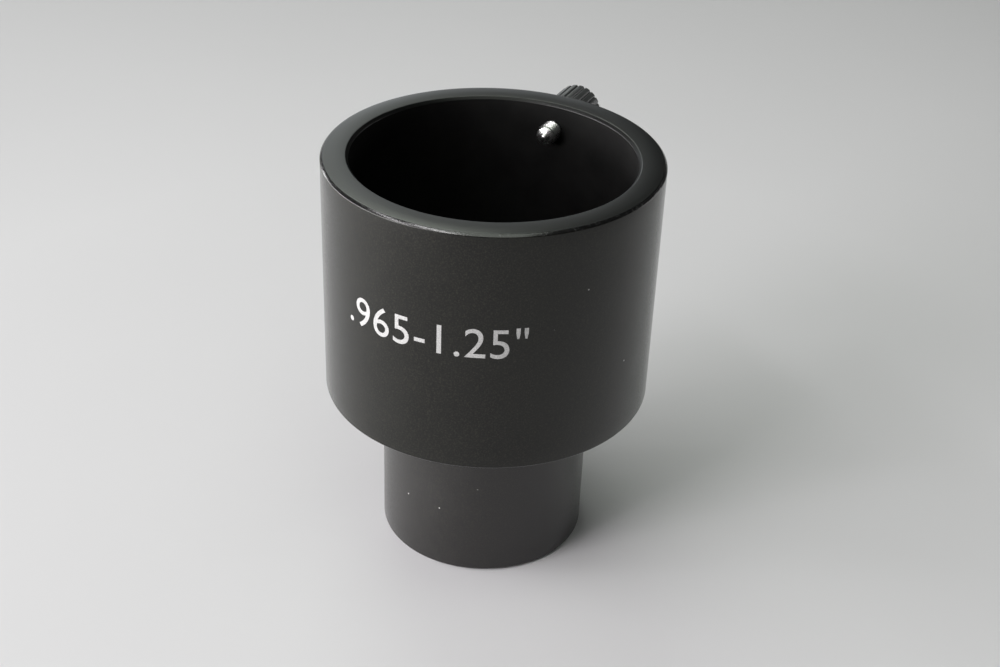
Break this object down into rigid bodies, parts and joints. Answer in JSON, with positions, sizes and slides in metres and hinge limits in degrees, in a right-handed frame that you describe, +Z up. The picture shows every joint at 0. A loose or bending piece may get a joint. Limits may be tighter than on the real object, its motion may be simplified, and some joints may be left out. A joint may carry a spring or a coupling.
{
  "type": "telescope eyepiece adapter",
  "caption": "Black stepped sleeve that holds a wide telescope eyepiece in a narrow focuser, with a thumbscrew through the socket wall.",
  "frame": {"origin": "on the tube axis, at the open end of the nosepiece that it stands on", "axes": "+Z up the tube axis towards the socket's mouth, +Y out along the thumbscrew"},
  "size_m": [0.038, 0.0434, 0.0488],
  "materials": {
    "black_anodised": "satin black anodised",
    "black_barrel": "satin black anodised",
    "black_head": "satin black, straight ribs",
    "bright_steel": "bright plated"
  },
  "bodies": {
    "sleeve": {"drum_body": "black_anodised", "nosepiece_barrel": "black_barrel"},
    "stud": {"thumbscrew_stud": "bright_steel"},
    "head": {"thumbscrew_head": "black_head"}
  },
  "joints": [
    {"name": "screw_advance", "type": "slide", "parent": "sleeve", "child": "stud", "axis": [0, 1, 0], "range_m": [-0.00045, 0.0027]},
    {"name": "screw_turn", "type": "hinge", "parent": "stud", "child": "head", "pos_m": [0, 0.0199, 0.04545], "axis": [0, 1, 0], "range_deg": [-360, 2160]}
  ],
  "couplings": [
    {"joint": "screw_turn", "follows": "screw_advance", "rad_per_m": 13963}
  ]
}
